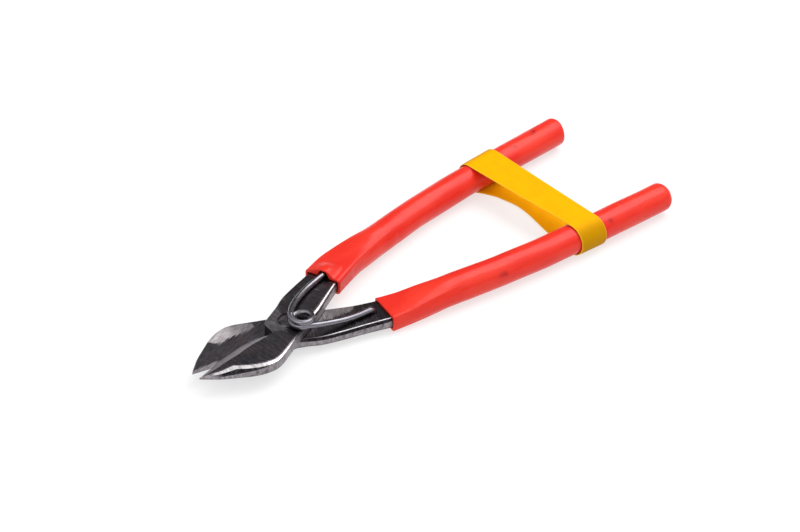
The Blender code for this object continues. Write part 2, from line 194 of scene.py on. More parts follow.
def ring_outline(corners, angles):
    """Rounded outline through corners of (u, v, rounding, points round it, points after it).

    Returns (u, v, angle, corner number) for every point; the angle is where the point
    goes when the section is round, and points between two corners are numbered k + 0.5.
    """
    points = []
    count = len(corners)
    cuts = []
    for k in range(count):
        here = Vector(corners[k][:2])
        before = Vector(corners[k - 1][:2]) - here
        after = Vector(corners[(k + 1) % count][:2]) - here
        reach = min(corners[k][2], 0.45 * min(before.length, after.length))
        cuts.append((here, before.normalized() * reach, after.normalized() * reach))
    for k in range(count):
        here, back, on = cuts[k]
        steps, gap = corners[k][3:]
        nxt = (k + 1) % count
        turn = angles[nxt] - angles[k]
        turn = turn if turn > 0 else turn + 360.0
        for j in range(steps):
            s = j / (steps - 1)
            spot = here + back * (1 - s) ** 2 + on * s ** 2
            points.append((spot.x, spot.y, angles[k] + CORNER_TURN * (s - 0.5), k))
        start = here + on
        end = cuts[nxt][0] + cuts[nxt][1]
        for j in range(1, gap + 1):
            s = j / (gap + 1)
            spot = start.lerp(end, s)
            angle = angles[k] + CORNER_TURN / 2 + (turn - CORNER_TURN) * s
            points.append((spot.x, spot.y, angle, k + 0.5))
    return points


def set_ring(points, centre, across, roundness, half, middle, height):
    """Places an outline's points on the slice through centre, rounder or squarer."""
    ring = []
    for u, v, angle, _ in points:
        a = math.radians(angle)
        u = lerp(u, half * math.cos(a), roundness)
        v = lerp(v, middle + height * math.sin(a), roundness)
        spot = centre + across * u
        ring.append((spot.x, spot.y, v))
    return ring


def skin(bm, loops, outward, move):
    """Joins closed loops of points one after another; returns their vertices."""
    layers = [[bm.verts.new(move(p)) for p in ring] for ring in loops]
    count = len(layers[0])
    for a, b in zip(layers, layers[1:]):
        for k in range(count):
            n = (k + 1) % count
            face = (a[k], a[n], b[n], b[k])
            bm.faces.new(face if outward else face[::-1])
    return layers


def fan(bm, ring, tip, flipped):
    """Closes a ring with triangles to one point."""
    top = bm.verts.new(tip)
    for k in range(len(ring)):
        n = (k + 1) % len(ring)
        face = (ring[k], ring[n], top)
        bm.faces.new(face[::-1] if flipped else face)


def middle_of(points):
    return sum((Vector(p) for p in points), Vector()) / len(points)


def mesh_object(name, bm, mats, sharp=40.0):
    """A smooth-shaded object, with edges sharp from that many degrees."""
    bmesh.ops.recalc_face_normals(bm, faces=bm.faces)
    mesh = bpy.data.meshes.new(name)
    bm.to_mesh(mesh)
    bm.free()
    for mat in mats:
        mesh.materials.append(mat)
    mesh.shade_smooth()
    mesh.set_sharp_from_angle(angle=math.radians(sharp))
    obj = bpy.data.objects.new(name, mesh)
    bpy.context.collection.objects.link(obj)
    return obj


def store_values(obj, name, kind, values):
    """Stores one value, or one vector, for every vertex."""
    made = obj.data.attributes.new(name, kind, "POINT")
    key = "vector" if kind == "FLOAT_VECTOR" else "value"
    made.data.foreach_set(key, np.array(values, np.float32).ravel())


def point_values(obj, name, kind, function):
    """Stores function(x, y, z in millimetres) at every vertex."""
    spots = [vertex.co / MM for vertex in obj.data.vertices]
    store_values(obj, name, kind, [function(p.x, p.y, p.z - LAP_Z) for p in spots])


# ---- materials ----


class Graph:
    """Short forms for building the nodes of one material, or of the world."""

    def __init__(self, owner, shader="Principled BSDF"):
        self.owner = owner
        owner.use_nodes = True
        self.tree = owner.node_tree
        self.shader = self.tree.nodes[shader]

    def node(self, kind, **values):
        made = self.tree.nodes.new("ShaderNode" + kind)
        for key, value in values.items():
            setattr(made, key, value)
        return made

    def link(self, a, b):
        self.tree.links.new(a, b)

    def attribute(self, name, output="Vector"):
        return self.node("Attribute", attribute_name=name).outputs[output]

    def noise(self, scale, detail=3.0, rough=0.55, warp=0.0, vector=None):
        """Noise along the piece's flow, or of vector; scale is in cycles a unit."""
        mapping = self.node("Mapping")
        mapping.inputs["Scale"].default_value = scale
        self.link(vector or self.attribute("flow"), mapping.inputs["Vector"])
        made = self.node("TexNoise")
        made.inputs["Scale"].default_value = 1.0
        made.inputs["Detail"].default_value = detail
        made.inputs["Roughness"].default_value = rough
        made.inputs["Distortion"].default_value = warp
        self.link(mapping.outputs["Vector"], made.inputs["Vector"])
        return made.outputs["Fac"]

    def math(self, operation, a, b=0.0, c=0.0):
        made = self.node("Math", operation=operation)
        for socket, value in zip(made.inputs, (a, b, c)):
            if isinstance(value, (int, float)):
                socket.default_value = value
            else:
                self.link(value, socket)
        return made.outputs[0]

    def step(self, value, low, high, out_low=0.0, out_high=1.0):
        """Smooth step of value from low to high."""
        made = self.node("MapRange", interpolation_type="SMOOTHSTEP")
        for key, number in (("From Min", low), ("From Max", high),
                            ("To Min", out_low), ("To Max", out_high)):
            made.inputs[key].default_value = number
        self.link(value, made.inputs["Value"])
        return made.outputs["Result"]

    def mix(self, share, a, b):
        """Colour from a to b; a and b are colours or sockets."""
        made = self.node("Mix", data_type="RGBA")
        colours = [s for s in made.inputs if s.type == "RGBA"]
        for socket, value in zip(colours, (a, b)):
            if isinstance(value, tuple):
                socket.default_value = (*value, 1.0)
            else:
                self.link(value, socket)
        factor = made.inputs[0]
        if isinstance(share, float):
            factor.default_value = share
        else:
            self.link(share, factor)
        return next(s for s in made.outputs if s.type == "RGBA")

    def bump(self, height, distance, strength, normal=None):
        made = self.node("Bump")
        made.inputs["Strength"].default_value = strength
        made.inputs["Distance"].default_value = distance
        self.link(height, made.inputs["Height"])
        if normal is not None:
            self.link(normal, made.inputs["Normal"])
        return made.outputs["Normal"]

    def finish(self, colour, roughness, normal=None, metallic=0.0, **constants):
        """Fills the shader; constants are socket names with _ for each space."""
        self.link(colour, self.shader.inputs["Base Color"])
        if isinstance(roughness, float):
            self.shader.inputs["Roughness"].default_value = roughness
        else:
            self.link(roughness, self.shader.inputs["Roughness"])
        if normal is not None:
            self.link(normal, self.shader.inputs["Normal"])
        self.shader.inputs["Metallic"].default_value = metallic
        for key, value in constants.items():
            self.shader.inputs[key.replace("_", " ")].default_value = value
        return self.owner


def material(name):
    return Graph(bpy.data.materials.new(name))


def forged_steel():
    """Dark lacquered forging with cross grinding marks and lighter matte ground patches."""
    g = material("forged_steel")
    patch = g.attribute("patch", "Fac")
    marks = g.noise((1.15, 0.16, 0.3), 5.0, 0.68, 0.15)
    fine = g.noise((3.6, 0.35, 0.5), 3.0, 0.6)
    tint = g.noise((0.09, 0.12, 0.1), 3.0, 0.6)
    clouds = g.noise((0.35, 0.3, 0.3), 4.0, 0.6)
    scratch = g.step(g.noise((1.3, 0.14, 0.3), 2.0, 0.5), 0.58, 0.66)
    scratch = g.math("MULTIPLY", scratch, g.step(clouds, 0.45, 0.60))
    ragged = g.math("MULTIPLY_ADD", g.noise((1.2, 0.06, 0.2), 5.0, 0.75), 8.0, -4.0)
    ground = g.step(g.math("ADD", patch, ragged), -0.3, 0.4)
    dark = g.mix(g.step(tint, 0.38, 0.62), (0.158, 0.147, 0.172), (0.200, 0.166, 0.180))
    dark = g.mix(g.step(marks, 0.35, 0.68), g.mix(0.45, dark, (0.02, 0.018, 0.022)), dark)
    # painted shade: the lacquered steel is darkened by the shade attribute
    dark = g.mix(g.attribute("shade", "Fac"), (0.0, 0.0, 0.0), dark)
    dark = g.mix(g.math("MULTIPLY", scratch, 0.6), dark, (0.32, 0.30, 0.315))
    light = g.mix(g.step(marks, 0.35, 0.66), (0.42, 0.388, 0.396), (0.68, 0.632, 0.645))
    tone = g.attribute("patch_tone", "Fac")
    light = g.mix(tone, dark, light)
    colour = g.mix(ground, dark, light)
    colour = g.mix(g.step(fine, 0.42, 0.70, 0.0, 0.3), colour, (0.02, 0.02, 0.024))
    rough = g.math("MULTIPLY_ADD", marks, 0.16, 0.22)
    rough = g.math("ADD", rough, g.math("MULTIPLY", g.math("MULTIPLY", ground, tone), 0.3))
    height = g.math("ADD", marks, g.math("MULTIPLY", fine, 0.35))
    normal = g.bump(height, 0.00012, 0.55)
    return g.finish(colour, rough, normal, metallic=1.0)


def ground_bevel():
    """The cutting bevel: lilac-grey, ground across the edge."""
    g = material("ground_bevel")
    marks = g.noise((2.2, 0.2, 0.3), 4.0, 0.6)
    broad = g.noise((0.12, 0.2, 0.2), 2.0)
    colour = g.mix(g.step(marks, 0.3, 0.7), (0.37, 0.333, 0.374), (0.56, 0.508, 0.548))
    colour = g.mix(g.step(broad, 0.45, 0.75, 0.0, 0.25), colour, (0.24, 0.215, 0.245))
    rough = g.math("MULTIPLY_ADD", marks, 0.2, 0.3)
    normal = g.bump(marks, 0.00006, 0.5)
    return g.finish(colour, rough, normal, metallic=1.0)


def polished_ridge_and_highlight():
    """The bright rubbed band along a lever's outer edge: partly real polish, partly a painted
    highlight.
    """
    g = material("polished_ridge_and_highlight")
    marks = g.noise((0.9, 0.4, 0.4), 4.0, 0.65)
    colour = g.mix(g.step(marks, 0.32, 0.62), (0.38, 0.36, 0.375), (0.68, 0.65, 0.665))
    # where rubbed is low the ridge is as dark as the lacquer: no polish and no painted highlight
    colour = g.mix(g.attribute("rubbed", "Fac"), (0.15, 0.137, 0.147), colour)
    rough = g.math("MULTIPLY_ADD", marks, 0.18, 0.2)
    return g.finish(colour, rough, g.bump(marks, 0.00005, 0.4), metallic=1.0)


def forging_scale():
    """Unground facets: near-black, rough scale."""
    g = material("forging_scale")
    marks = g.noise((0.7, 0.5, 0.5), 4.0, 0.65, 0.3)
    colour = g.mix(g.step(marks, 0.35, 0.72), (0.010, 0.009, 0.012), (0.045, 0.04, 0.048))
    colour = g.mix(g.attribute("unground", "Fac"), (0.22, 0.20, 0.214), colour)
    rough = g.math("MULTIPLY_ADD", marks, 0.2, 0.4)
    return g.finish(colour, rough, g.bump(marks, 0.00012, 0.5), metallic=1.0)


def side_steel():
    """Upright sides: rubbed forging scale, lighter than the lacquered top."""
    g = material("side_steel")
    marks = g.noise((0.9, 0.9, 0.28), 4.0, 0.65, 0.3)
    spots = g.noise((0.32, 0.32, 0.4), 3.0, 0.6)
    colour = g.mix(g.step(marks, 0.32, 0.68), (0.16, 0.145, 0.157), (0.33, 0.303, 0.32))
    colour = g.mix(g.step(spots, 0.52, 0.70, 0.0, 0.6), colour, (0.07, 0.064, 0.072))
    rough = g.math("MULTIPLY_ADD", marks, 0.2, 0.3)
    return g.finish(colour, rough, g.bump(marks, 0.0001, 0.5), metallic=1.0)


def rivet_steel():
    """The rivet: dark and dented by the hammer."""
    g = material("rivet_steel")
    spot = g.node("TexCoord").outputs["Object"]
    hammer = g.noise((420.0, 420.0, 420.0), 3.0, 0.6, 0.4, spot)
    grain = g.noise((1500.0, 1500.0, 1500.0), 2.0, vector=spot)
    colour = g.mix(g.step(hammer, 0.35, 0.66), (0.035, 0.032, 0.036), (0.17, 0.155, 0.165))
    rough = g.math("MULTIPLY_ADD", grain, 0.25, 0.28)
    return g.finish(colour, rough, g.bump(hammer, 0.0004, 0.7), metallic=1.0)


def spring_wire():
    """Drawn wire: fine marks along it and a few dull spots."""
    g = material("spring_wire")
    drawn = g.noise((0.05, 2.4, 2.4), 3.0, 0.6)
    dull = g.noise((0.35, 0.5, 0.5), 4.0, 0.65)
    colour = g.mix(g.step(drawn, 0.3, 0.7), (0.12, 0.115, 0.132), (0.27, 0.26, 0.29))
    colour = g.mix(g.step(dull, 0.55, 0.75, 0.0, 0.6), colour, (0.10, 0.092, 0.105))
    rough = g.math("MULTIPLY_ADD", dull, 0.25, 0.12)
    return g.finish(colour, rough, g.bump(drawn, 0.00002, 0.4), metallic=1.0)


def red_vinyl():
    """Dipped soft vinyl: satin, faintly rippled, with scuffs where it was handled."""
    g = material("red_vinyl")
    ripple = g.noise((0.06, 0.16, 0.16), 2.0, 0.5)
    grain = g.noise((1.2, 1.2, 1.2), 3.0, 0.6)
    shade = g.noise((0.035, 0.1, 0.1), 3.0, 0.55)
    scuff = g.noise((0.5, 0.22, 0.22), 4.0, 0.7, 0.6)
    mark = g.attribute("mark", "Fac")
    colour = g.mix(g.step(shade, 0.35, 0.68), (0.64, 0.020, 0.011), (0.69, 0.032, 0.016))
    colour = g.mix(g.step(scuff, 0.60, 0.78, 0.0, 0.30), colour, (0.70, 0.02, 0.022))
    # dark nicks, and painted shade in the crease at the upper sleeve's end
    colour = g.mix(mark, colour, (0.22, 0.008, 0.014))
    rough = g.math("MULTIPLY_ADD", grain, 0.10, 0.24)
    rough = g.math("ADD", rough, g.step(scuff, 0.5, 0.8, 0.0, 0.12))
    normal = g.bump(grain, 0.00003, 0.35, g.bump(ripple, 0.0009, 0.35))
    return g.finish(colour, rough, normal, Specular_IOR_Level=0.22,
                    Coat_Weight=0.05, Coat_Roughness=0.12)


def yellow_rubber():
    """Stretched rubber: matte, slightly mottled, with faint lines along the pull."""
    g = material("yellow_rubber")
    lines = g.noise((0.02, 1.3, 0.2), 3.0, 0.6)
    mottle = g.noise((0.12, 0.12, 0.12), 4.0, 0.6)
    dust = g.noise((2.4, 2.4, 2.4), 2.0, 0.6)
    colour = g.mix(g.step(mottle, 0.3, 0.7), (0.72, 0.33, 0.0003), (0.77, 0.36, 0.0003))
    colour = g.mix(g.step(lines, 0.45, 0.75, 0.0, 0.25), colour, (0.70, 0.31, 0.001))
    # painted shade where the band goes round a handle
    colour = g.mix(g.attribute("painted_wrap_shade", "Fac"), colour, (0.40, 0.185, 0.0003))
    # painted highlight: the band's edges lighter
    colour = g.mix(g.attribute("rim", "Fac"), colour, (0.80, 0.46, 0.03))
    rough = g.math("MULTIPLY_ADD", dust, 0.12, 0.46)
    height = g.math("ADD", lines, g.math("MULTIPLY", dust, 0.2))
    return g.finish(colour, rough, g.bump(height, 0.00005, 0.4),
                    Specular_IOR_Level=0.03)


# ---- levers ----

LEVER_ANGLES = (-48.0, -35.0, 15.0, 35.0, 145.0, 160.0, 170.0, 218.0)
TOP, BEVEL, RIDGE, SIDE, SCALE = range(5)
LAP_EDGE, LAP_FACET = 0.0, 0.5     # numbers of the corner and edge on the lap plane
EDGE_MATERIAL = {0.5: SIDE, 1.0: SIDE, 1.5: SIDE, 2.0: BEVEL, 2.5: BEVEL, 4.5: RIDGE,
                 5.0: RIDGE, 5.5: SCALE, 6.0: SIDE, 6.5: SIDE}
NOTCH = (-12.0, -8.5)    # X of the notch behind the cutting edge
EDGE_CHAMFER = 0.08      # of a blade's edge on the lap side
LAP_CHAMFER = 1.5        # of the bar's edge there
CHAMFER_RUN = 12.0       # length over which the one grows into the other
EDGE_DROP = 1.1          # height of the rounding along the handle's top edges
EDGE_WIDTH = 0.8         # its width on the side towards the other handle
FACET_WIDTH = 0.6        # width of the facet outside the handle's ridge
RIDGE_SLOPE = 0.3        # how much the ridge falls for its width
RIDGE_GAP = (-6.0, 6.0)  # X where the ridge has no polish and no painted highlight
TIP_END = -47.5          # X where the ridge and the dark facet start to show
SHARP = 35.0             # degrees from which a lever's edges are sharp


def face_material(number, x):
    """Material of a lever's face between outline corners, by the corner's number."""
    slot = EDGE_MATERIAL.get(number, TOP)
    if number < 3 and NOTCH[0] < x < NOTCH[1]:
        return SCALE
    if x > NOTCH[1] and number in (LAP_EDGE, LAP_FACET):
        return SCALE if number == LAP_FACET else RIDGE if x > RIDGE_GAP[1] else TOP
    if slot == BEVEL and x >= NOTCH[1] or slot == RIDGE and RIDGE_GAP[0] < x < RIDGE_GAP[1]:
        return TOP
    if slot in (RIDGE, SCALE) and x < TIP_END:
        return SIDE
    return slot


def lever_outline(half, bottom, chamfer, land, bevel, bevel_top, ridge, ridge_top, facet,
                  facet_top, back):
    """A lever's section; the eight numbers from land on are the last of a BLADE row."""
    corners = [
        (half - 0.7 * chamfer, bottom, 0.09 * chamfer, 5, 9),
        (half, bottom + chamfer, 0.15, 3, 3),
        (half, bottom + land, 0.10, 3, 6),
        (half - bevel, bottom + bevel_top, 0.35, 4, 26),
        (ridge - half, bottom + ridge_top, 0.45, 4, 4),
        (facet - half, bottom + facet_top, 0.3, 4, 3),
        (-half, bottom + back, 0.25, 4, 5),
        (-half, bottom, 0.25, 3, 26),
    ]
    return ring_outline(corners, LEVER_ANGLES)


def handle_section(thick, ridge):
    """The last eight numbers of a BLADE row, for a slice of the handle."""
    facet_top = thick - RIDGE_SLOPE * ridge
    return (thick - EDGE_DROP, EDGE_WIDTH, thick, ridge + FACET_WIDTH, thick, FACET_WIDTH,
            facet_top, facet_top - EDGE_DROP)


def lever_slices():
    """(outline, centre, across, roundness, half, middle, height) from tip to handle end."""
    rows = list(BLADE)
    for x, y, half, bottom, top, _, ridge in BAR:
        side = handle_side(x) * half
        rows.append((x + side.x, y + side.y, x - side.x, y - side.y,
                     *handle_section(top - bottom, ridge)))
    slices = []
    for i in range(len(rows) - 1):
        steps = 4 + round(math.dist(rows[i][:2], rows[i + 1][:2]))
        for k in range(steps):
            row = row_between(rows, i, k / steps, 4)
            left, right = Vector(row[:2]), Vector(row[2:4])
            half = (left - right).length / 2
            chamfer = EDGE_CHAMFER + LAP_CHAMFER * smooth((left.x - NOTCH[1]) / CHAMFER_RUN)
            outline = lever_outline(half, LAP_GAP, chamfer, *row[4:])
            across = (left - right).normalized()
            slices.append((outline, (left + right) / 2, across, 0.0, half, 0.0, 1.0))
    bar_end, rod_end = BAR[-1][0], HANDLE[-1][0]
    stops = [bar_end + 2.0 * k for k in range(20)]
    stops += [lerp(bar_end + 40.0, rod_end, k / 24) for k in range(25)]
    for x in stops:
        y, half, bottom, top, roundness, ridge = handle_at(x)
        section = handle_section(top - bottom, ridge)
        outline = lever_outline(half, bottom, LAP_CHAMFER, *section)
        slices.append((outline, Vector((x, y)), handle_side(x), roundness, half,
                       (bottom + top) / 2, (top - bottom) / 2))
    return slices


LAP_GRIND = math.radians(18.0)   # of the marks on the lower blade's face, from X
BLADE_END = -2.0                 # X where the marks start to turn along the handle
BLADE_FADE = 8.0                 # length over which they turn


def lever_flow(sign):
    """Millimetres along and across a lever, for the grinding marks."""
    c, s = math.cos(LAP_GRIND), math.sin(LAP_GRIND)
    bar_start = BAR[0][0]

    def flow(x, y, z):
        y = y * sign
        u, v = (x, y) if sign > 0 else (x * s + y * c, x * c - y * s)
        if x < BLADE_END:
            return (u, v, z)
        along = x
        for _ in range(3):
            middle = handle_at(along)[0] if along > bar_start else along * 0.5
            centre = Vector((along, middle))
            side = handle_side(max(along, bar_start))
            along += (Vector((x, y)) - centre).dot(Vector((side.y, -side.x)))
        across = (Vector((x, y)) - centre).dot(side)
        share = smooth((x - BLADE_END) / BLADE_FADE)
        return (lerp(u, along, share), lerp(v, across, share), z)
    return flow


def inside_by(polygon):
    """How far (x, y) is inside a polygon, in millimetres; negative outside."""
    edges = list(zip(polygon, polygon[1:] + polygon[:1]))

    def depth(x, y):
        nearest, inside = 1e9, False
        for (ax, ay), (bx, by) in edges:
            dx, dy = bx - ax, by - ay
            t = min(max(((x - ax) * dx + (y - ay) * dy) / (dx * dx + dy * dy), 0.0), 1.0)
            nearest = min(nearest, math.hypot(x - ax - dx * t, y - ay - dy * t))
            if (ay > y) != (by > y) and x < ax + dx * (y - ay) / dy:
                inside = not inside
        return nearest if inside else -nearest
    return depth


# Lighter ground patches: how light, then the outline in X and Y.
UPPER_PATCHES = [
    (0.2, [(-9.8, 5.0), (-2.0, 12.0), (3.0, 13.5), (0.5, 5.6), (0.2, 3.6), (-3.1, 1.8),
           (-4.4, -4.9), (-8.9, -3.0), (-11.0, -0.6)]),
]
LOWER_PATCHES = [
    (1.0, [(-34.4, 18.0), (-32.4, 13.8), (-30.4, 12.0), (-25.0, 12.6), (-18.0, 10.8),
           (-11.0, 11.6), (-11.0, 22.0), (-30.0, 23.0)]),
    (0.55, [(-52.0, 4.4), (-44.0, 3.6), (-36.0, 1.9), (-32.0, 0.0), (-36.0, -3.0),
           (-54.0, -3.0)]),
    (0.38, [(12.0, -4.6), (19.0, -6.6), (30.0, -8.4), (33.6, -6.6), (35.0, 0.0), (12.0, 6.0)]),
]
PATCH_DULL = 0.42        # share of its lightness that the lower blade's patch keeps
PATCH_FADE = -25.0       # X where it starts to grow dull
NO_PATCH = (-9.0, 0.0)   # depth and lightness on the faces that have no patch


def turned(name, profile, centre=(0.0, 0.0), steps=96):
    """A closed solid of revolution about a vertical axis; profile is (radius, z)."""
    bm = bmesh.new()
    angles = [2 * math.pi * k / steps for k in range(steps)]
    rings = [[(centre[0] + radius * math.cos(a), centre[1] + radius * math.sin(a), z)
              for a in angles] for radius, z in profile]
    layers = skin(bm, rings, True, place)
    fan(bm, layers[0], place((*centre, profile[0][1])), True)
    fan(bm, layers[-1], place((*centre, profile[-1][1])), False)
    return mesh_object(name, bm, [], 30.0)


def cut(piece, cutter):
    """Cuts a closed solid out of a piece, and removes the cutter."""
    boolean = piece.modifiers.new("cut", "BOOLEAN")
    boolean.operation = "DIFFERENCE"
    boolean.solver = "EXACT"
    boolean.object = cutter
    graph = bpy.context.evaluated_depsgraph_get()
    mesh = bpy.data.meshes.new_from_object(piece.evaluated_get(graph))
    piece.modifiers.clear()
    piece.data = mesh
    bpy.data.objects.remove(cutter, do_unlink=True)


def paint_lever(lever, upside_down):
    """Stores what the steels read: the marks' flow, the patches, the painted shade, worn edges."""
    patches = LOWER_PATCHES if upside_down else UPPER_PATCHES
    zones = [(tone, inside_by(outline)) for tone, outline in patches]
    face_from = -1.0 if upside_down else BAR_TOP - 1.5

    def deepest(x, y, z):
        return max((depth(x, y), tone) for tone, depth in zones) if z > face_from else NO_PATCH

    def patch_tone(x, y, z):
        tone = deepest(x, y, z)[1]
        if upside_down and x < 0.0:
            tone *= lerp(1.0, PATCH_DULL, smooth((x - PATCH_FADE) / 10.0))
        return tone

    # painted shade: full brightness on the blades, darker towards the pivot, and on the lower
    # lever darker again towards its sleeve
    def shade(x, y, z):
        if x < 10.0:
            return lerp(1.0, 0.58, smooth((x + 16.0) / 14.0))
        return lerp(0.6, 0.3, smooth((x - 20.0) / 20.0)) if upside_down else 0.58

    # where the ridge shows its polish and painted highlight; faded out near the tip and about the
    # pivot
    def rubbed(x, y, z):
        if x > 0.0:
            return smooth((x - RIDGE_GAP[1]) / 10.0)
        return smooth((x - TIP_END) / 3.5) * smooth((RIDGE_GAP[0] - x) / 5.0)

    point_values(lever, "flow", "FLOAT_VECTOR", lever_flow(-1 if upside_down else 1))
    point_values(lever, "rubbed", "FLOAT", rubbed)
    point_values(lever, "unground", "FLOAT", lambda x, y, z: smooth((x - TIP_END) / 5.0))
    point_values(lever, "shade", "FLOAT", shade)
    point_values(lever, "patch", "FLOAT", lambda x, y, z: deepest(x, y, z)[0])
    point_values(lever, "patch_tone", "FLOAT", patch_tone)


def rod_end_rings(ring, steps=5):
    """Rings that round off the rod's end, and the point that closes them."""
    x = HANDLE[-1][0]
    y = handle_at(x)[0]
    along = handle_side(x)
    along = Vector((along.y, -along.x))
    rings = []
    for step in range(1, steps):
        a = math.pi / 2 * step / steps
        shrink, push = math.cos(a), along * ROD_DOME * math.sin(a)
        rings.append([(x + (px - x) * shrink + push.x, y + (py - y) * shrink + push.y, pz * shrink)
                      for px, py, pz in ring])
    end = Vector((x, y)) + along * ROD_DOME
    return rings, (end.x, end.y, 0.0)


def build_lever(which, mats):
    upside_down = which == "lower"
    bm = bmesh.new()
    move = (lambda p: place(flip(p))) if upside_down else place
    slices = lever_slices()
    rings = [set_ring(*s) for s in slices]
    end_rings, end = rod_end_rings(rings[-1])
    rings += end_rings
    layers = skin(bm, rings, True, move)
    fan(bm, layers[0], move(middle_of(rings[0])), True)
    fan(bm, layers[-1], move(end), False)
    numbers = [p[3] for p in slices[0][0]]
    count = len(numbers)
    bm.faces.ensure_lookup_table()
    for i, face in enumerate(bm.faces):
        number = numbers[i % count] if i < count * (len(rings) - 1) else 0
        face.material_index = face_material(number, face.calc_center_median().x / MM)
    lever = mesh_object(which + "_lever_look", bm, mats, SHARP)
    low, high = -BAR_TOP - 1.0, BAR_TOP + 1.0
    bore = RIVET_SHANK + GAP
    profile = [(bore, low), (bore, high)]
    if not upside_down:
        mouth = RIVET_UPSET + 0.12
        profile = [(bore, low), (bore, BAR_TOP - UPSET_DEPTH), (mouth, BAR_TOP), (mouth, high)]
    cut(lever, turned("bore", profile))
    hx, hy = SPRING_HOLE[which]
    profile = [(SPRING_HOLE_RADIUS, low), (SPRING_HOLE_RADIUS, high)]
    cut(lever, turned("hole", profile, (hx, -hy if upside_down else hy), 48))
    lever.data.set_sharp_from_angle(angle=math.radians(SHARP))
    paint_lever(lever, upside_down)
    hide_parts(which + "_blade_lever")
    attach(lever, which + "_lever")


# ---- rivet ----


def build_rivet(mat):
    """Flat head with a rounded rim below, shank, and the end hammered into its countersink."""
    floor = -LAP_Z
    head_top = -BAR_TOP - GAP
    top = BAR_TOP - 0.1
    profile = [(RIVET_HEAD - 1.1, floor), (RIVET_HEAD - 0.7, floor + 0.08),
               (RIVET_HEAD - 0.3, floor + 0.4), (RIVET_HEAD - 0.08, floor + 0.8),
               (RIVET_HEAD, floor + 1.2), (RIVET_HEAD, head_top - 0.1),
               (RIVET_HEAD - 0.1, head_top), (RIVET_SHANK, head_top),
               (RIVET_SHANK, BAR_TOP - UPSET_DEPTH), (RIVET_UPSET - 0.25, top - 0.45),
               (RIVET_UPSET - 0.3, top - 0.25), (RIVET_UPSET - 0.6, top - 0.12),
               (RIVET_UPSET - 1.5, top - 0.03), (2.0, top + 0.02), (1.0, top + 0.05)]
    rivet = turned("pivot_rivet_look", profile)
    rivet.data.materials.append(mat)
    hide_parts("pivot_rivet")
    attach(rivet, "upper_lever")


# ---- spring ----


def hook(which, slope, high, low, steps=9):
    """The wire's end: off a straight arm, round the bend and down into its hole."""
    x, y = SPRING_HOLE[which]
    side = 1 if which == "upper" else -1
    along = Vector((1.0, slope)).normalized()
    points = []
    for step in range(steps):
        a = math.pi / 2 * step / (steps - 1)
        spot = Vector((x, side * y)) - along * BEND * (1 - math.sin(a))
        points.append((spot.x, spot.y, high - BEND * (1 - math.cos(a))))
    points.append((x, side * y, low))
    return points


def smooth_path(points, steps):
    """A smooth curve through points, with that many steps between each two."""
    result = []
    for i in range(len(points) - 1):
        for k in range(steps):
            result.append(tuple(row_between(points, i, k / steps, 3)))
    return result + [tuple(points[-1])]


def spring_path():
    """The wire's centre line from the upper hole, round the coil, to the lower hole."""
    cx, cy = COIL_CENTRE
    top = COIL_LOW + COIL_PITCH
    rest = WIRE_RADIUS + GAP     # height of the lower arm's end, on the lower bar
    ride = COIL_LOW + 0.65       # height of the upper arm's end, over the upper bar
    upper = [(31.0, 13.4, ride - 0.1), (26.3, 12.5, ride - 0.2), (18.0, 10.2, ride - 0.2),
             (9.9, 6.4, COIL_LOW + 1.1), (4.3, 2.5, top - 0.8), (1.0, -0.7, top - 0.2)]
    coil = []
    steps = 96
    for k in range(steps + 1):
        turn = COIL_TURN * k / steps
        a = math.radians(COIL_START + turn)
        z = top - COIL_PITCH * min(turn / 360.0, 1.0)
        coil.append((cx + COIL_RADIUS * math.cos(a), cy + COIL_RADIUS * math.sin(a), z))
    lower = [(6.6, -11.0, COIL_LOW - 1.3), (12.0, -12.1, 4.1), (21.0, -13.6, 2.3),
             (28.0, -14.5, rest)]
    first = hook("upper", 0.40, ride, 1.0)[::-1]
    last = hook("lower", -0.12, rest, -BAR_TOP + 0.8)
    before = smooth_path(first[-1:] + upper + coil[:1], 8)
    after = smooth_path(coil[-1:] + lower + last[:1], 8)
    return first[:-1] + before[:-1] + coil + after[1:-1] + last


def build_spring(mat):
    """A round wire along the path, with its ends rounded off."""
    path = [Vector(p) for p in spring_path()]
    sides = 28
    bm = bmesh.new()
    up = Vector((0.0, 1.0, 0.0))
    rings, flows, length = [], [], 0.0
    for i, spot in enumerate(path):
        ahead = path[min(i + 1, len(path) - 1)] - path[max(i - 1, 0)]
        ahead.normalize()
        up = (up - ahead * up.dot(ahead)).normalized()
        right = ahead.cross(up)
        if i:
            length += (spot - path[i - 1]).length
        ring, flow = [], []
        for k in range(sides):
            a = 2 * math.pi * k / sides
            out = up * math.cos(a) + right * math.sin(a)
            ring.append(spot + out * WIRE_RADIUS)
            flow.append((length, WIRE_RADIUS * math.cos(a), WIRE_RADIUS * math.sin(a)))
        rings.append(ring)
        flows.append(flow)
    for end, inner in ((0, 1), (-1, -2)):
        middle, base = path[end], rings[end]
        outward = (middle - path[inner]).normalized()
        for share in (0.45, 0.85):
            shrink = 1 - 0.3 * share
            ring = [middle + (p - middle) * shrink + outward * 0.3 * share for p in base]
            at = 0 if end == 0 else len(rings)
            rings.insert(at, ring)
            flows.insert(at, flows[end])
    layers = skin(bm, rings, True, place)
    fan(bm, layers[0], place(middle_of(rings[0])), True)
    fan(bm, layers[-1], place(middle_of(rings[-1])), False)
    spring = mesh_object("torsion_spring_look", bm, [mat], 50.0)
    values = [v for flow in flows for v in flow] + [flows[0][0], flows[-1][0]]
    store_values(spring, "flow", "FLOAT_VECTOR", values)
    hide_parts("torsion_spring")
    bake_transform(spring)


# ---- sleeves ----

SLEEVE_ANGLES = (-45.0, 45.0, 135.0, 225.0)
RIPPLE = 0.22            # height of the slow waves in the vinyl
RIPPLE_START = 44.0      # X where they start to grow
RIPPLE_RUN = 30.0        # length over which they grow
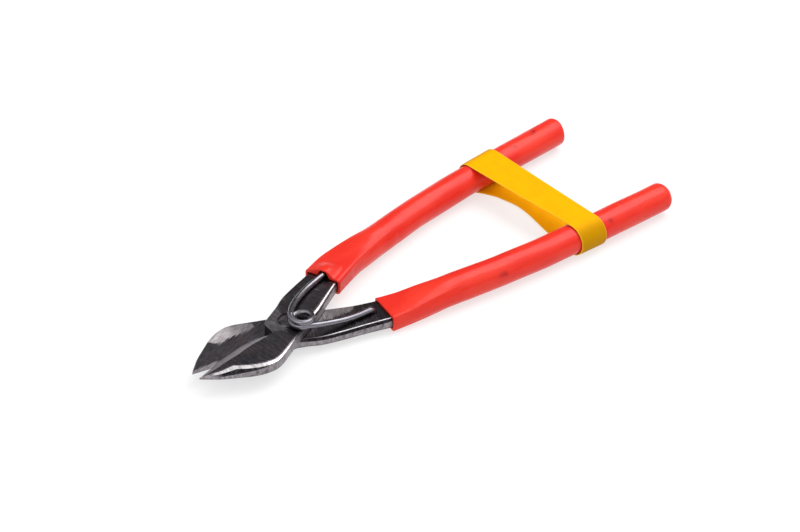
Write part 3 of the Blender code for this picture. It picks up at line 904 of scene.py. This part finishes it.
# Small dark nicks in the vinyl, the last upper one painted shade in the end's crease: place, reach
# and depth of colour.
NICKS_AND_CREASE_SHADE = {
    "upper": [((184.0, 36.6, 7.1), 2.2, 1.0), ((182.0, 35.2, 7.2), 1.8, 0.6),
              ((168.2, 33.2, 6.8), 2.0, 0.7), ((200.6, 35.6, 5.2), 2.2, 0.6)],
    "lower": [((98.6, -36.5, 3.0), 2.2, 0.8), ((96.8, -36.2, 3.0), 2.2, 0.7),
              ((162.4, -40.2, 5.4), 2.0, 0.8)],
}


def sleeve_ring(x, grow, rise, slant, ripple):
    """A sleeve's section, grown from the handle's; ripple is the waves' seed, 0 for none."""
    y, half, bottom, top, roundness, _ = handle_at(x)
    low, high = bottom - grow, top + grow
    wide = half + grow
    reach = 0.7 + 0.9 * grow
    corners = [(wide, low, reach, 9, 7), (wide, high, reach, 9, 22),
               (-wide, high, reach, 9, 7), (-wide, low, reach, 9, 22)]
    outline = ring_outline(corners, SLEEVE_ANGLES)
    across = handle_side(x)
    centre = Vector((x, y))
    ring = set_ring(outline, centre, across, roundness, wide, (low + high) / 2, (high - low) / 2)
    moved = []
    for px, py, pz in ring:
        off = (Vector((px, py)) - centre).dot(across)
        if rise:
            pz += rise(x, off, pz)
        px += across.y * slant * off
        py -= across.x * slant * off
        if ripple:
            spot = Vector((px * 0.05, py * 0.16, pz * 0.16 + ripple))
            push = noise.noise(spot) * RIPPLE * smooth((x - RIPPLE_START) / RIPPLE_RUN)
            away = Vector((px - x, py - y, pz - (low + high) / 2)).normalized()
            px, py, pz = px + away.x * push, py + away.y * push, pz + away.z * push
        moved.append((px, py, pz))
    return moved


def wire_room(x, off, z):
    """How far the upper sleeve's inside rises over the spring's arm."""
    if z < 0:
        return 0.0
    fade = smooth((BUMP_END - x) / (BUMP_END - BUMP_FADE))
    return BUMP * fade * smooth((BUMP_REACH - abs(off - BUMP_MIDDLE)) / (BUMP_REACH - BUMP_FLAT))


def wire_swell(x, off, z):
    """How far the upper sleeve's skin rises over the spring's arm.

    The skin runs straight from the far edge up to the wire and drops steeply beyond it.
    """
    if z < 0:
        return 0.0
    fade = smooth((SWELL_END - x) / (SWELL_END - BUMP_FADE))
    if off > BUMP_MIDDLE:
        t = min(max((SWELL_FAR - off) / (SWELL_FAR - BUMP_MIDDLE - BUMP_FLAT), 0.0), 1.0)
        return SWELL * fade * lerp(t, smooth(t), 0.3)
    return SWELL * fade * smooth((off - SWELL_NEAR) / (BUMP_MIDDLE - BUMP_FLAT - SWELL_NEAR))


def dome_rings(ring, length, steps, pinch):
    """Rings that close a sleeve's end; pinch flattens them towards a crease."""
    x = HANDLE[-1][0]
    y = handle_at(x)[0]
    side = handle_side(x)
    along = Vector((side.y, -side.x))
    rings = []
    for step in range(1, steps + 1):
        a = math.pi / 2 * step / (steps + 0.5)
        shrink = math.cos(a) ** 0.85
        reach = length * math.sin(a)
        made = []
        for px, py, pz in ring:
            u = (Vector((px, py)) - Vector((x, y))).dot(side)
            squeeze = 1 - pinch * 0.45 * (reach / length) ** 2
            u2, z2 = u * shrink * squeeze, pz * shrink
            crease = pinch * 0.25 * (abs(pz) - 4.0) * (reach / length)
            spot = Vector((x, y)) + side * u2 + along * (reach + crease)
            made.append((spot.x, spot.y, z2))
        rings.append(made)
    return rings


def build_sleeve(which, mat):
    """Outer and inner skins, each closed over the rod's end and joined at the mouth."""
    upside_down = which == "lower"
    rise, room = (None, None) if upside_down else (wire_swell, wire_room)
    move = (lambda p: place(flip(p))) if upside_down else place
    mouth, slant = SLEEVE_MOUTH[which], MOUTH_SLANT[which]
    seed = 3.7 if upside_down else 9.1
    stops = []
    x = mouth + 0.25
    while x < HANDLE[-1][0] - 0.3:
        stops.append(x)
        x += 0.9 if x < 60 else 1.4
    stops.append(HANDLE[-1][0])
    grow = GAP + SLEEVE_WALL

    def slant_at(x):
        return slant * (1 - smooth((x - mouth) / 5.0))

    outer = [sleeve_ring(mouth, grow - 0.3, rise, slant, 0.0)]
    outer.append(sleeve_ring(mouth + 0.08, grow - 0.1, rise, slant, 0.0))
    outer += [sleeve_ring(x, grow, rise, slant_at(x), seed) for x in stops]
    tip = ROD_DOME + grow + SLEEVE_TIP[which]
    outer += dome_rings(outer[-1], tip, 9, 0.0 if upside_down else 1.0)
    inner = [sleeve_ring(mouth, GAP + 0.1, room, slant, 0.0)]
    inner += [sleeve_ring(x, GAP, room, slant_at(x), 0.0) for x in stops[::2] + stops[-1:]]
    inner += dome_rings(inner[-1], ROD_DOME + GAP, 3, 0.0)
    bm = bmesh.new()
    a = skin(bm, outer, True, move)
    b = skin(bm, inner, False, move)
    for last, flipped in ((a[-1], False), (b[-1], True)):
        fan(bm, last, middle_of([v.co for v in last]), flipped)
    count = len(a[0])
    for k in range(count):
        n = (k + 1) % count
        bm.faces.new((a[0][n], a[0][k], b[0][k], b[0][n]))
    sleeve = mesh_object(which + "_sleeve_look", bm, [mat], 60.0)
    sign = -1 if upside_down else 1
    shift = 40 if upside_down else 0      # so that the two sleeves' marks differ
    point_values(sleeve, "flow", "FLOAT_VECTOR", lambda x, y, z: (x, y * sign, z + shift))

    def mark(x, y, z):
        return max(smooth(1 - math.dist((x, y, z), spot) / size) * depth
                   for spot, size, depth in NICKS_AND_CREASE_SHADE[which])
    point_values(sleeve, "mark", "FLOAT", mark)
    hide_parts(which + "_grip_sleeve")
    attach(sleeve, which + "_lever")


# ---- band ----

# Y across the snips, then X of the band's front and back edges there, for each run.
BAND_TOP_RUN = [(36.0, 138.5, 157.5), (0.0, 140.5, 157.5), (-36.0, 142.5, 157.5)]
BAND_LOW_RUN = [(36.0, 138.5, 157.5), (29.0, 143.0, 170.0), (22.0, 146.6, 171.5),
                (7.4, 149.1, 168.0), (-15.7, 145.4, 161.5), (-36.0, 142.5, 157.5)]
BAND_SAG = 0.35          # how far each run hollows in the middle
BAND_WIDTH = 18.0
WRAP_SHADE = 0.8         # painted shade: how much darker the rubber is where it goes round a handle


def run_at(table, y):
    """X of the band's front and back edges at Y."""
    i = next((k for k in range(len(table) - 2) if table[k + 1][0] < y), len(table) - 2)
    a, b = table[i], table[i + 1]
    t = (y - a[0]) / (b[0] - a[0])
    return row_between(table, i, min(max(t, 0.0), 1.0), 3)[1:]


def band_line(share, radius):
    """The closed line round both handles at a share of the band's width."""
    loop = []
    half_turn, run = 28, 40
    for side in (1, -1):
        x = run_at(BAND_TOP_RUN, side * BAND_TOP_RUN[0][0])
        x = lerp(x[0], x[1], share)
        y = handle_at(x)[0]
        for k in range(half_turn + 1):
            a = math.pi * k / half_turn - math.pi / 2
            a = a if side > 0 else a + math.pi
            loop.append((x, side * y + radius * math.cos(a), radius * math.sin(a)))
        table = BAND_TOP_RUN if side > 0 else BAND_LOW_RUN
        for k in range(1, run):
            t = k / run
            y2 = lerp(side * y, -side * handle_at(x)[0], t)
            edges = run_at(table, y2)
            x2 = lerp(edges[0], edges[1], share)
            sag = BAND_SAG * math.sin(math.pi * t) * math.sin(math.pi * share)
            z = radius * side - (sag if side > 0 else -sag)
            loop.append((x2, y2, z))
    return loop


def build_band(mat):
    """One closed band; its edges are rounded by thinning it there."""
    shares = [0.0, 0.012, 0.04] + [k / 14 for k in range(1, 14)] + [0.96, 0.988, 1.0]
    thin = [-0.25, -0.07, 0.0] + [0.0] * 13 + [0.0, -0.07, -0.25]
    middle = (BAND_INNER + BAND_OUTER) / 2
    half = BAND_WALL / 2
    outer = [band_line(s, middle + half + d) for s, d in zip(shares, thin)]
    inner = [band_line(s, middle - half - d) for s, d in zip(shares, thin)][::-1]
    loops = outer + inner
    bm = bmesh.new()
    layers = [[bm.verts.new(place(p)) for p in loop] for loop in loops]
    count = len(layers[0])
    for a, b in zip(layers, layers[1:] + layers[:1]):
        for k in range(count):
            n = (k + 1) % count
            bm.faces.new((a[k], b[k], b[n], a[n]))
    band = mesh_object("retaining_band_look", bm, [mat], 50.0)
    flow, rim, painted_wrap_shade = [], [], []
    along = [0.0]
    for p, q in zip(loops[8], loops[8][1:]):
        along.append(along[-1] + math.dist(p, q))
    for loop, share in zip(loops, shares + shares[::-1]):
        for k in range(count):
            flow.append((along[k], share * BAND_WIDTH, 0.0))
            # painted highlight along the band's two edges
            rim.append(0.55 if share < 0.02 or share > 0.98 else 0.0)
            px, py, _ = loop[k]
            painted_wrap_shade.append(WRAP_SHADE * smooth((abs(py) - handle_at(px)[0]) / 6.5))
    store_values(band, "flow", "FLOAT_VECTOR", flow)
    store_values(band, "rim", "FLOAT", rim)
    store_values(band, "painted_wrap_shade", "FLOAT", painted_wrap_shade)
    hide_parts("retaining_band")
    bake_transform(band)


# ---- floor, light, camera ----

FLOOR_HALF = 4.0                 # metres, like every length below
FLOOR_Z = -0.0002                # just under the snips
LIGHT_AIM = Vector((0.06, 0.0, 0.01))
ZENITH, HORIZON = 1.25, 0.2      # strength of the surround overhead and at floor level
CARD_TOWARDS = Vector((0.53, 0.62, 0.58))
CARD_EDGES = (0.70, 0.93)        # cosines between which the dark card fades in
CARD_SHARE = 0.18                # of the surround's strength left in front of the card
CAMERA_AZIMUTH, CAMERA_ELEVATION = -40.301, 37.6    # degrees
CAMERA_AIM = Vector((0.0747, 0.0108, 0.0))
CAMERA_DISTANCE = 1.037
CAMERA_LENS = 99.0               # millimetres, on a sensor 36 wide


def build_floor():
    """A plain pale floor that glows a little, so that shadows on it stay light."""
    bm = bmesh.new()
    bm.faces.new([bm.verts.new((x * FLOOR_HALF, y * FLOOR_HALF, FLOOR_Z))
                  for x, y in ((-1, -1), (1, -1), (1, 1), (-1, 1))])
    g = material("pale_floor")
    spot = g.node("TexCoord").outputs["Object"]
    colour = g.mix(g.step(g.noise((3.0, 3.0, 3.0), 2.0, vector=spot), 0.3, 0.7),
                   (0.30, 0.30, 0.30), (0.32, 0.32, 0.32))
    paper = g.finish(colour, 0.9, Emission_Color=(1.0, 1.0, 1.0, 1.0), Emission_Strength=0.64)
    floor = mesh_object("floor", bm, [paper])


def softbox(name, direction, distance, size, power):
    """A soft rectangular light that looks at the middle of the snips."""
    data = bpy.data.lights.new(name, "AREA")
    data.shape = "RECTANGLE"
    data.size, data.size_y = size
    data.energy = power
    lamp = bpy.data.objects.new(name, data)
    bpy.context.collection.objects.link(lamp)
    way = Vector(direction).normalized()
    lamp.location = LIGHT_AIM + way * distance
    lamp.rotation_mode = "QUATERNION"
    lamp.rotation_quaternion = way.to_track_quat("Z", "Y")


def build_world():
    """Soft grey surround with a darker card behind the snips, for contrast in the steel."""
    world = bpy.data.worlds.new("studio")
    bpy.context.scene.world = world
    g = Graph(world, "Background")
    way = g.node("TexCoord").outputs["Generated"]
    dot = g.node("VectorMath", operation="DOT_PRODUCT")
    g.link(way, dot.inputs[0])
    dot.inputs[1].default_value = CARD_TOWARDS.normalized()
    height = g.node("SeparateXYZ")
    g.link(way, height.inputs["Vector"])
    card = g.step(dot.outputs["Value"], *CARD_EDGES, 1.0, CARD_SHARE)
    sky = g.step(height.outputs["Z"], 0.0, 0.6, HORIZON, ZENITH)
    g.link(g.math("MULTIPLY", card, sky), g.shader.inputs["Strength"])
    g.shader.inputs["Color"].default_value = (1.0, 1.0, 1.0, 1.0)


def build_camera():
    data = bpy.data.cameras.new("camera")
    data.lens = CAMERA_LENS
    data.sensor_width = 36.0
    camera = bpy.data.objects.new("camera", data)
    bpy.context.collection.objects.link(camera)
    a, e = math.radians(CAMERA_AZIMUTH), math.radians(CAMERA_ELEVATION)
    back = Vector((math.sin(a) * math.cos(e), -math.cos(a) * math.cos(e), math.sin(e)))
    camera.location = CAMERA_AIM + back * CAMERA_DISTANCE
    camera.rotation_mode = "QUATERNION"
    camera.rotation_quaternion = back.to_track_quat("Z", "Y")
    bpy.context.scene.camera = camera


def main():
    steels = [forged_steel(), ground_bevel(), polished_ridge_and_highlight(), side_steel(), forging_scale()]
    for which in ("upper", "lower"):
        build_lever(which, steels)
    vinyl = red_vinyl()
    for which in ("upper", "lower"):
        build_sleeve(which, vinyl)
    build_rivet(rivet_steel())
    build_spring(spring_wire())
    build_band(yellow_rubber())
    build_floor()
    softbox("overhead", (0.51, 0.0, 0.86), 0.9, (0.8, 0.62), 6.0)
    softbox("left_fill", (-0.7, -0.35, 0.6), 1.2, (0.9, 0.9), 1.2)
    build_world()
    bpy.context.scene.view_settings.view_transform = "Standard"
    build_camera()


main()
